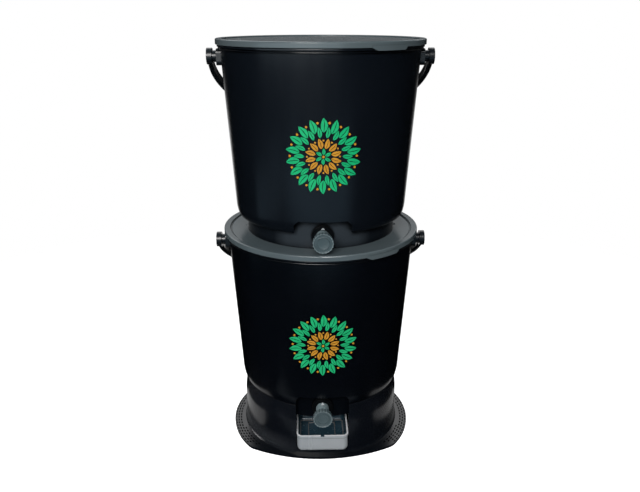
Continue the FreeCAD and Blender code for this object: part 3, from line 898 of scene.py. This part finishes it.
@dataclass
class TapDress:
    """Knob and painted pointer of one bin's tap."""

    deck: Deck
    knob_radius: float = 15.0 * MM
    cone_radius: float = 10.0 * MM
    socket_radius: float = 4.1 * MM
    socket_depth: float = 5.8 * MM
    disc_length: float = 8.0 * MM
    rim_width: float = 1.9 * MM
    dish_depth: float = 1.1 * MM
    ring_radius: float = 9.0 * MM
    ring_width: float = 0.9 * MM
    ring_height: float = 0.6 * MM
    ridges: int = 20
    ridge_depth: float = 0.8 * MM
    tooth: float = 1.2 * MM
    edge_round: float = 0.35 * MM
    bevel_angle: float = 30.0
    socket_margin: float = 0.82 * MM
    round_slack: float = 0.01 * MM
    smooth_angle: float = 32.0
    pointer_inset: float = 0.9 * MM
    pointer_half_width: float = 2.9 * MM
    pointer_length: float = 7.4 * MM
    pointer_lift: float = 0.02 * MM
    paint: float = 0.12 * MM

    def __post_init__(self) -> None:
        """Finds the plain knob's axis, its back and its face."""
        low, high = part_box(self.deck.node("tap_knob"))
        self.axis = Vector((0.0, 0.0, (low.z + high.z) / 2))
        self.back = -high.y
        self.face = -low.y

    def profile(self) -> list[tuple[float, float]]:
        """Half section of the knob, from the socket's floor to the face's middle.

        Returns:
            Its corners, as radius and distance to the front.
        """
        socket = self.back + self.socket_depth
        floor = self.face - self.dish_depth
        dish = self.knob_radius - self.rim_width
        ring_in = self.ring_radius - self.ring_width / 2
        ring_out = self.ring_radius + self.ring_width / 2
        return [
            (0.0, socket), (self.socket_radius, socket), (self.socket_radius, self.back),
            (self.cone_radius, self.back), (self.knob_radius, self.face - self.disc_length),
            (self.knob_radius, self.face), (self.knob_radius - self.tooth, self.face), (dish, self.face),
            (dish - self.dish_depth / 2, floor), (ring_out, floor), (ring_out, floor + self.ring_height),
            (ring_in, floor + self.ring_height), (ring_in, floor), (0.0, floor)]

    def column(self, offset: Vector, shift: float) -> int:
        """Number of the ridge's flank at an offset from the axis, counted round the knob."""
        return round(math.atan2(offset.z, offset.x) * self.ridges / math.pi + shift)

    def cut_ridges(self, shape: bmesh.types.BMesh) -> None:
        """Draws every other line of the knob's edge in, so that ridges are left between them.

        Args:
            shape: the spun knob.
        """
        for vert in shape.verts:
            offset = vert.co - self.axis
            offset.y = 0.0
            if offset.length > self.knob_radius - self.tooth / 2 and self.column(offset, 0.0) % 2:
                bmesh.ops.translate(shape, verts=[vert], vec=-offset.normalized() * self.ridge_depth)

    def is_rim(self, edge: bmesh.types.BMEdge) -> bool:
        """Whether an edge runs round one of the knob's sharp rings, outside its socket.

        Args:
            edge: the edge that is asked about.

        Returns:
            True for an edge to round off.
        """
        radii = [math.hypot(vert.co.x - self.axis.x, vert.co.z - self.axis.z) for vert in edge.verts]
        level = abs(edge.verts[0].co.y - edge.verts[1].co.y) < MERGE_DISTANCE
        same = abs(radii[0] - radii[1]) < self.round_slack
        outside = min(radii) > self.socket_radius + self.socket_margin
        return level and same and outside and edge.calc_face_angle(0.0) > math.radians(self.bevel_angle)

    def paint_rim_highlight(self, shape: bmesh.types.BMesh) -> None:
        """Gives the rim the paler finish as a painted highlight, apart from every other flank of its ridges,
        which keeps the darker finish as painted shade.

        Args:
            shape: the cut knob.
        """
        for face in shape.faces:
            centre = face.calc_center_median() - self.axis
            radius = math.hypot(centre.x, centre.z)
            flank = radius > self.knob_radius - self.tooth and self.column(centre, 0.5) % 2
            face.material_index = int(radius > self.knob_radius - self.rim_width and not flank)

    def knob(self, shelf: FinishShelf) -> bpy.types.Object:
        """Builds the knob: a spun body with a rim, a ring on its face and ridges round its edge.

        Args:
            shelf: the finishes.

        Returns:
            The knob's object.
        """
        shape = bmesh.new()
        corners = [Vector((radius, -front, 0.0)) for radius, front in self.profile()]
        verts = [shape.verts.new(self.axis + corner) for corner in corners]
        edges = [shape.edges.new(pair) for pair in zip(verts, verts[1:])]
        bmesh.ops.spin(
            shape, geom=verts + edges, cent=self.axis, axis=(0.0, 1.0, 0.0), angle=FULL_TURN,
            steps=2 * self.ridges, use_merge=True)
        bmesh.ops.remove_doubles(shape, verts=shape.verts, dist=MERGE_DISTANCE)
        bmesh.ops.recalc_face_normals(shape, faces=shape.faces)
        self.cut_ridges(shape)
        rings = [edge for edge in shape.edges if edge.is_manifold and self.is_rim(edge)]
        bmesh.ops.bevel(
            shape, geom=rings, offset=self.edge_round, affect="EDGES", segments=2, profile=0.5,
            material=-1, clamp_overlap=True)
        self.paint_rim_highlight(shape)
        finishes = [shelf.take(Finish.TAP_SLATE), shelf.take(Finish.TAP_RIM_HIGHLIGHT)]
        piece = make_object(self.deck.node("ridged_knob"), shape, finishes)
        smooth_by_angle(piece, self.smooth_angle)
        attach(piece, self.deck.node("tap_valve"))
        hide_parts(self.deck.node("tap_knob"))
        return piece

    def pointer(self, shelf: FinishShelf) -> bpy.types.Object:
        """Paints the raised pointer on the tap's barrel.

        Args:
            shelf: the finishes.

        Returns:
            The painted mark.
        """
        low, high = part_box(self.deck.node("tap_body"))
        base = low.y + self.pointer_inset
        level = high.z + self.pointer_lift
        half = self.pointer_half_width
        corners = [(-half, base), (half, base), (0.0, base + self.pointer_length)]
        shape = bmesh.new()
        face = shape.faces.new([shape.verts.new((x, y, level)) for x, y in corners])
        top = bmesh.ops.extrude_face_region(shape, geom=[face])
        moved = [item for item in top["geom"] if isinstance(item, bmesh.types.BMVert)]
        bmesh.ops.translate(shape, verts=moved, vec=(0.0, 0.0, self.paint))
        piece = make_object(self.deck.node("pointer_mark"), shape, [shelf.take(Finish.MARK_WHITE)])
        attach(piece, self.deck.node("bin"))
        return piece

    def build(self, shelf: FinishShelf) -> list[bpy.types.Object]:
        """Builds the knob and the painted pointer."""
        return [self.knob(shelf), self.pointer(shelf)]


@dataclass
class FlangeTread:
    """Rows of small raised dashes on the top of the stand's flange, coloured near black as painted shade."""

    plan_radius: float = 152.0 * MM
    forward: float = 8.0 * MM
    wall_radius: float = 138.0 * MM
    wall_gap: float = 1.68 * MM
    front_limit: float = -98.0 * MM
    top: float = 4.0 * MM
    sink: float = 0.05 * MM
    first_row: float = 2.3 * MM
    row_step: float = 4.2 * MM
    rows: int = 4
    dash_length: float = 5.0 * MM
    dash_width: float = 2.4 * MM
    dash_height: float = 0.7 * MM
    dash_pitch: float = 8.4 * MM
    dash_crown: tuple[float, float, float] = (0.75, 0.6, 1.0)

    def fits(self, x: float, y: float) -> bool:
        """Whether a dash at this place lies on the flange, clear of the wall and of the plain front."""
        return y > self.front_limit and math.hypot(x, y) > self.wall_radius + self.wall_gap

    def places(self) -> list[Matrix]:
        """Places of all dashes, in rows whose dashes are staggered.

        Returns:
            Each dash's middle and turn.
        """
        found = []
        height = self.top + self.dash_height / 2 - self.sink
        for row in range(self.rows):
            radius = self.plan_radius - self.first_row - row * self.row_step
            count = int(FULL_TURN * radius / self.dash_pitch)
            for step in range(count):
                angle = FULL_TURN * (step + 0.5 * (row % 2)) / count
                x = radius * math.cos(angle)
                y = radius * math.sin(angle) - self.forward
                if self.fits(x, y):
                    turn = Matrix.Rotation(angle + math.pi / 2, 4, "Z")
                    found.append(Matrix.Translation((x, y, height)) @ turn)
        return found

    def build(self, shelf: FinishShelf) -> bpy.types.Object:
        """Builds all dashes as one piece.

        Args:
            shelf: the finishes.

        Returns:
            The tread's object.
        """
        shape = bmesh.new()
        size = Matrix.Diagonal((self.dash_length, self.dash_width, self.dash_height, 1.0))
        for place in self.places():
            dash = bmesh.ops.create_cube(shape, size=1.0, matrix=place @ size)
            crown = [vert for vert in dash["verts"] if vert.co.z > self.top]
            bmesh.ops.scale(shape, verts=crown, vec=self.dash_crown, space=place.inverted())
        piece = make_object("flange_tread", shape, [shelf.take(Finish.TREAD_SHADE)])
        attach(piece, "stand")
        return piece


@dataclass
class LipBead:
    """Thin bead round one bin, just below the lid's skirt."""

    deck: Deck
    height: float = 275.2 * MM
    radius: float = 150.6 * MM
    thickness: float = 1.1 * MM
    sides: int = 10
    steps: int = 180
    smooth_angle: float = 60.0

    def build(self, shelf: FinishShelf) -> bpy.types.Object:
        """Builds the bead.

        Args:
            shelf: the finishes.

        Returns:
            The bead's object.
        """
        middle = Vector((0.0, 0.0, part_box(self.deck.node("bin_sump"))[0].z + self.height))
        start = Matrix.Translation(middle + Vector((self.radius, 0.0, 0.0)))
        upright = Matrix.Rotation(math.pi / 2, 4, "X")
        shape = bmesh.new()
        ring = bmesh.ops.create_circle(
            shape, radius=self.thickness, segments=self.sides, matrix=start @ upright)
        edges = list({edge for vert in ring["verts"] for edge in vert.link_edges})
        bmesh.ops.spin(
            shape, geom=ring["verts"] + edges, cent=middle, axis=(0.0, 0.0, 1.0), angle=FULL_TURN,
            steps=self.steps, use_merge=True)
        bmesh.ops.remove_doubles(shape, verts=shape.verts, dist=MERGE_DISTANCE)
        piece = make_object(self.deck.node("lip_bead"), shape, [shelf.take(Finish.BIN_BLACK)])
        smooth_by_angle(piece, self.smooth_angle)
        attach(piece, self.deck.node("bin"))
        return piece


@dataclass
class SolidDress:
    """Gives the carried-over solids their finishes."""

    nodes: dict[str, bpy.types.Object]

    def paint(self, name: str, finish: bpy.types.Material) -> None:
        """Puts a finish on one solid.

        Args:
            name: the solid's name.
            finish: its material.
        """
        mesh = self.nodes[name].data
        mesh.materials.clear()
        mesh.materials.append(finish)
        LOG.info("finish %s on %s", finish.name, name)

    @staticmethod
    def bin_finishes(deck: Deck) -> dict[str, Finish]:
        """Finishes of one bin; its black is painted light, a paler, bluer lit copy on the upper bin and a
        darker shaded copy on the lower one.

        Args:
            deck: the bin.

        Returns:
            The finish of each of its pieces.
        """
        # painted light: the upper bin takes the lit copy of the black, the lower bin the shaded copy
        upper = deck is Deck.UPPER
        return {
            "bin_body": Finish.LIT_NAVY_BLACK if upper else Finish.BIN_BLACK,
            "bin_sump": Finish.LIT_SUMP_BLACK if upper else Finish.SHADED_SUMP,
            "bin_ears": Finish.HANDLE_BLACK, "bail_handle": Finish.HANDLE_BLACK,
            "lid": Finish.LID_SLATE, "lid_seal": Finish.SEAL_RUBBER,
            "strainer_plate": Finish.STRAINER_BLACK, "tap_body": Finish.TAP_COLLARED,
            "tap_gasket": Finish.SEAL_RUBBER, "tap_washer": Finish.TAP_SLATE, "tap_nut": Finish.TAP_SLATE,
            "tap_knob": Finish.TAP_SLATE, "valve_plug": Finish.TAP_SLATE, "plug_seal": Finish.SEAL_RUBBER}

    def build(self, shelf: FinishShelf) -> None:
        """Dresses every solid.

        Args:
            shelf: the finishes.
        """
        for piece in ("stand_wall", "stand_flange", "stand_floor", "stand_shelf"):
            self.paint(piece, shelf.take(Finish.STAND_BLACK))
        self.paint("drip_cup", shelf.take(Finish.CUP_CLEAR))
        for deck in Deck:
            for piece, finish in self.bin_finishes(deck).items():
                self.paint(deck.node(piece), shelf.take(finish))


class LampRole(Enum):
    """What a lamp does: a card only shows in reflections, a lamp lights as well."""

    LAMP = "lamp"
    CARD = "card"


@dataclass(frozen=True)
class SoftBox:
    """One soft studio lamp."""

    name: str
    place: tuple[float, float, float]
    target: tuple[float, float, float]
    width: float
    height: float
    power: float
    colour: Colour = WHITE
    role: LampRole = LampRole.LAMP
    spread: float = 180.0

    def build(self) -> bpy.types.Object:
        """Hangs the lamp at its place, facing its target.

        Returns:
            The lamp's object.
        """
        lamp = bpy.data.lights.new(self.name, "AREA")
        lamp.shape = "RECTANGLE"
        lamp.size = self.width
        lamp.size_y = self.height
        lamp.energy = self.power
        lamp.color = self.colour
        lamp.spread = math.radians(self.spread)
        piece = bpy.data.objects.new(self.name, lamp)
        piece.location = self.place
        piece.visible_camera = False
        piece.visible_diffuse = self.role is LampRole.LAMP
        piece.visible_transmission = self.role is LampRole.LAMP
        facing = Vector(self.target) - Vector(self.place)
        piece.rotation_euler = facing.to_track_quat("-Z", "Y").to_euler()
        bpy.context.scene.collection.objects.link(piece)
        return piece


@dataclass(frozen=True)
class FloorCard:
    """A card that lies just above the floor, faces up and only shows in reflections."""

    name: str
    across: float
    forward: float
    width: float
    depth: float
    power: float
    colour: Colour = WHITE
    height: float = 0.001

    def build(self) -> bpy.types.Object:
        """Lays the card at its place.

        Returns:
            The card's object.
        """
        place = (self.across, self.forward, self.height)
        target = (self.across, self.forward + self.height, 1.0)
        size = (self.width, self.depth)
        return SoftBox(self.name, place, target, *size, self.power, self.colour, LampRole.CARD).build()


@dataclass
class Studio:
    """Floor, lamps, surround and camera."""

    camera_place: tuple[float, float, float] = (-0.0239, -1.0048, 0.6754)
    camera_turn: float = 1.3
    camera_pitch: float = 19.63
    camera_reach: Span = (0.05, 60.0)
    lens: float = 36.48
    sensor: float = 36.0
    floor_radius: float = 2.4
    floor_sides: int = 96
    floor_drop: float = 0.0003
    floor_fade: Span = (0.35, 1.2)
    floor_glow: float = 0.75
    floor_tones: tuple[Colour, Colour] = ((0.93, 0.93, 0.93), (0.96, 0.96, 0.96))
    floor_mottle: float = 3.0
    floor_detail: float = 4.0
    floor_roughness: float = 0.9
    floor_specular: float = 0.1
    room_tint: Colour = (0.94, 1.0, 1.08)
    room_stops: tuple[Span, ...] = (
        (0.0, 0.0), (0.40, 0.002), (0.48, 0.01), (0.53, 0.04), (0.70, 0.08), (1.0, 0.10))
    sweep_depth: Span = (0.86, 0.97)
    sweep_top: Span = (-0.20, -0.08)
    sweep_glow: float = 1.6
    backdrop_depth: Span = (0.30, 0.75)
    backdrop_foot: Span = (0.28, 0.55)
    backdrop_top: Span = (0.72, 0.90)
    backdrop_glow: float = 2.4

    def room(self, board: NodeBoard, height: Socket) -> Socket:
        """Dim light of the room, which grows from the floor to the ceiling.

        Args:
            board: the surround's nodes.
            height: socket with how far a direction points up.

        Returns:
            The socket with the light's colour.
        """
        ramp = board.add("ShaderNodeValToRGB")
        elements = ramp.color_ramp.elements
        while len(elements) < len(self.room_stops):
            elements.new(0.5)
        for element, (position, grey) in zip(elements, self.room_stops):
            element.position = position
            element.color = (*shaded(self.room_tint, grey), 1.0)
        board.join(board.spread(height, (-1.0, 1.0), RISE), ramp.inputs["Fac"])
        return ramp.outputs["Color"]

    def surround(self) -> None:
        """Lights the pieces by a dim room with a glow behind, and shows white to the camera."""
        world = bpy.data.worlds.new("studio_surround")
        bpy.context.scene.world = world
        world.use_nodes = True
        world.node_tree.nodes.clear()
        board = NodeBoard(world.node_tree)
        direction = board.add("ShaderNodeTexCoord").outputs["Generated"]
        height = board.along(direction, Axis.Z)
        depth = board.along(direction, Axis.Y)
        sweep = board.spread(depth, self.sweep_depth, (0.0, self.sweep_glow))
        below = board.spread(height, self.sweep_top, FALL)
        colour = board.mixed(below, self.room(board, height), sweep, Blend.ADD)
        backdrop = board.spread(depth, self.backdrop_depth, (0.0, self.backdrop_glow))
        above = board.band(height, self.backdrop_foot, self.backdrop_top)
        colour = board.mixed(above, colour, backdrop, Blend.ADD)
        light = board.add("ShaderNodeBackground")
        board.join(colour, light.inputs["Color"])
        white = board.add("ShaderNodeBackground")
        white.inputs["Color"].default_value = (*WHITE, 1.0)
        choice = board.add("ShaderNodeMixShader")
        board.join(board.add("ShaderNodeLightPath").outputs["Is Camera Ray"], choice.inputs[0])
        board.join(light.outputs["Background"], choice.inputs[1])
        board.join(white.outputs["Background"], choice.inputs[2])
        board.join(choice.outputs["Shader"], board.add("ShaderNodeOutputWorld").inputs["Surface"])

    def floor_finish(self) -> bpy.types.Material:
        """Pale mottled finish of the floor, which glows to the camera and fades with the distance.

        Returns:
            The material.
        """
        material = bpy.data.materials.new("pale_floor")
        material.use_nodes = True
        board = NodeBoard(material.node_tree)
        shader = material.node_tree.nodes["Principled BSDF"]
        place = board.place()
        pale = board.mixed(board.noise(place, self.floor_mottle, self.floor_detail), *self.floor_tones)
        board.join(pale, shader.inputs["Base Color"])
        board.join(pale, shader.inputs["Emission Color"])
        camera = board.add("ShaderNodeLightPath").outputs["Is Camera Ray"]
        board.join(board.spread(camera, RISE, (0.0, self.floor_glow)), shader.inputs["Emission Strength"])
        distance = board.vector("LENGTH", place)
        board.join(board.spread(distance.outputs["Value"], self.floor_fade, FALL), shader.inputs["Alpha"])
        shader.inputs["Roughness"].default_value = self.floor_roughness
        shader.inputs["Specular IOR Level"].default_value = self.floor_specular
        return material

    def floor(self) -> bpy.types.Object:
        """Lays the floor.

        Returns:
            The floor's object.
        """
        shape = bmesh.new()
        bmesh.ops.create_circle(shape, cap_ends=True, radius=self.floor_radius, segments=self.floor_sides)
        bmesh.ops.translate(shape, verts=shape.verts, vec=(0.0, 0.0, -self.floor_drop))
        piece = make_object("studio_floor", shape, [self.floor_finish()])
        piece.visible_glossy = False
        return piece

    def lamps(self) -> None:
        """Hangs the soft lamps and lays the cards."""
        middle = (0.0, 0.0, 0.4)
        warm = (1.0, 0.975, 0.955)
        sky = (0.50, 0.77, 1.0)
        card = LampRole.CARD
        for box in (
                SoftBox("key_box", (-0.50, -1.90, 1.30), (0.0, 0.0, 0.35), 0.9, 0.8, 40.0, warm),
                SoftBox("front_box", (0.10, -1.80, 1.60), middle, 0.7, 0.6, 12.0, (0.95, 0.98, 1.0)),
                SoftBox("top_box", (-0.4, 0.3, 2.6), middle, 1.6, 1.6, 3.0, (0.65, 0.88, 1.0)),
                FloorCard("front_card", -0.10, -1.05, 1.5, 0.55, 0.75, sky),
                FloorCard("far_card", -0.10, -1.30, 2.0, 0.70, 1.30, sky),
                FloorCard("left_card", -1.20, -0.55, 0.6, 1.1, 0.60, (0.54, 0.79, 1.0)),
                FloorCard("left_strip", -0.172, -0.005, 0.056, 0.16, 0.015),
                FloorCard("right_strip", 0.178, -0.02, 0.045, 0.17, 0.010),
                FloorCard("near_strip", -0.04, -0.185, 0.36, 0.05, 0.011, (0.80, 0.90, 1.0)),
                SoftBox("skirt_card", (-0.45, -0.96, 0.57), (0.0, 0.0, 0.61), 2.0, 0.12, 1.80,
                        (0.74, 0.89, 1.0), card),
                SoftBox("left_panel", (-0.40, 0.0, 0.02), (-0.1, -0.08, 0.02), 0.2, 0.04, 0.014,
                        role=card, spread=50.0)):
            LOG.info("placed %s", box.build().name)

    def camera(self) -> None:
        """Sets the camera at the photo's angle."""
        lens = bpy.data.cameras.new("front_camera")
        lens.lens = self.lens
        lens.sensor_width = self.sensor
        lens.sensor_fit = "HORIZONTAL"
        lens.clip_start, lens.clip_end = self.camera_reach
        piece = bpy.data.objects.new("front_camera", lens)
        piece.location = self.camera_place
        tilt = math.radians(90.0 - self.camera_pitch)
        piece.rotation_euler = (tilt, 0.0, math.radians(-self.camera_turn))
        bpy.context.scene.collection.objects.link(piece)
        bpy.context.scene.camera = piece

    def build(self) -> None:
        """Builds the whole studio."""
        bpy.context.scene.view_settings.view_transform = "Standard"
        self.surround()
        self.floor()
        self.lamps()
        self.camera()


def main() -> None:
    """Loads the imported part, dresses it, adds the surface pieces and sets up the studio."""
    logging.basicConfig(level=logging.INFO, format="%(name)s: %(message)s")
    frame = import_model()
    shelf = FinishShelf()
    SolidDress(frame["nodes"]).build(shelf)
    for deck in Deck:
        LOG.info("built %s", Rosette(deck).build(shelf).name)
        LOG.info("built %s", LipBead(deck).build(shelf).name)
        for piece in TapDress(deck).build(shelf):
            LOG.info("built %s", piece.name)
    LOG.info("built %s", FlangeTread().build(shelf).name)
    Studio().build()


if __name__ == "__main__":
    main()
